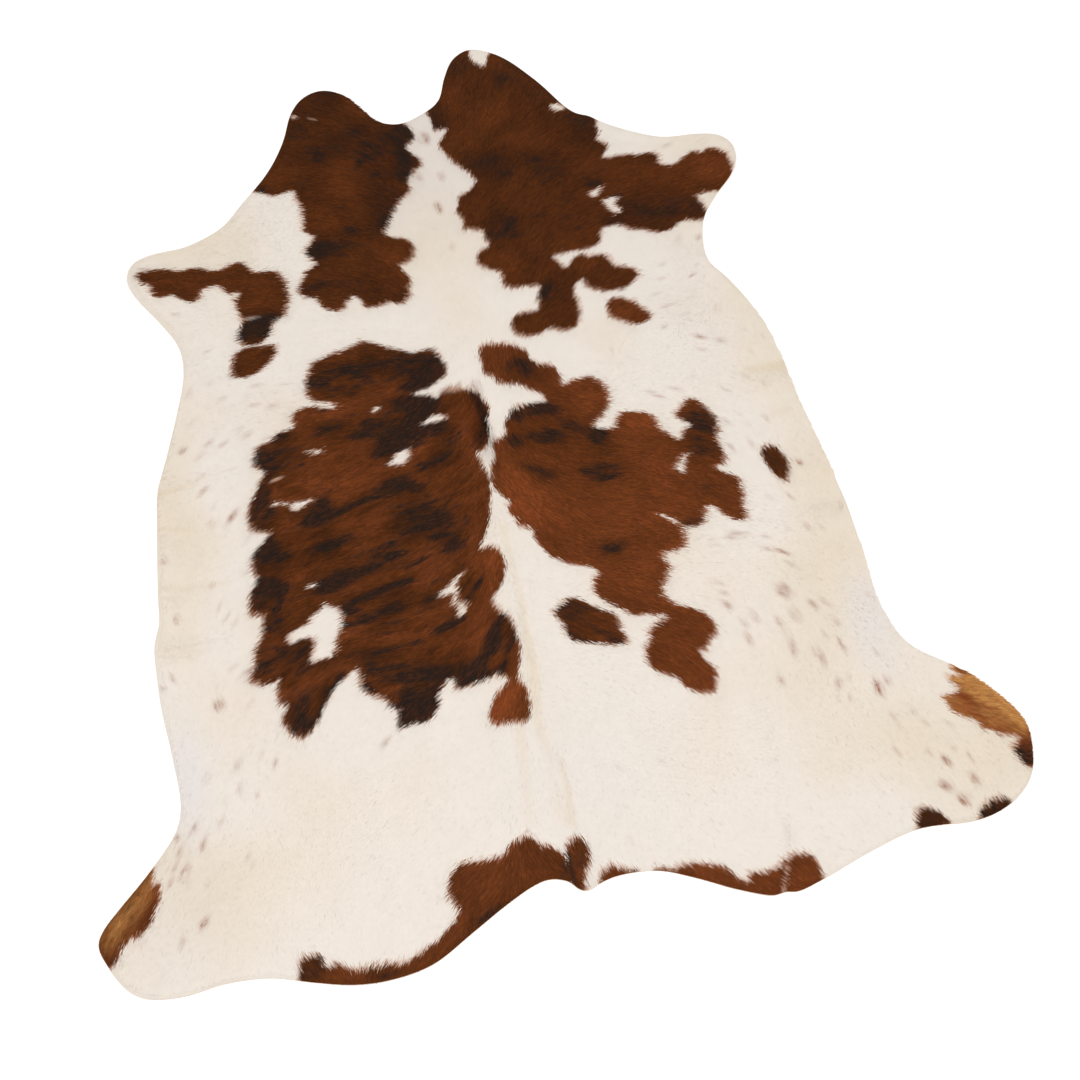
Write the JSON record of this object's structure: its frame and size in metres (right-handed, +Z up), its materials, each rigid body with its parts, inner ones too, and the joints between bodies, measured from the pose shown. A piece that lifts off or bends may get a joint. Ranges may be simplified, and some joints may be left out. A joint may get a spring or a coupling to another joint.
{
  "type": "cowhide rug",
  "caption": "Whole cowhide laid flat as a floor rug, with neck flaps, foreleg and hind leg lobes, a wavy rump edge and a pleat at the tail root.",
  "frame": {"origin": "on the floor, under the middle of the hide's box", "axes": "+Z up out of the hair side, +Y along the back towards the neck, +X to the hide's right side"},
  "size_m": [1.8998, 2.2994, 0.0145],
  "materials": {
    "coat": "short lying cow hair, cream with chestnut and dark brindle patches, soft sheen, on a suede skin"
  },
  "bodies": {
    "root": {"hide": "coat"}
  },
  "joints": []
}
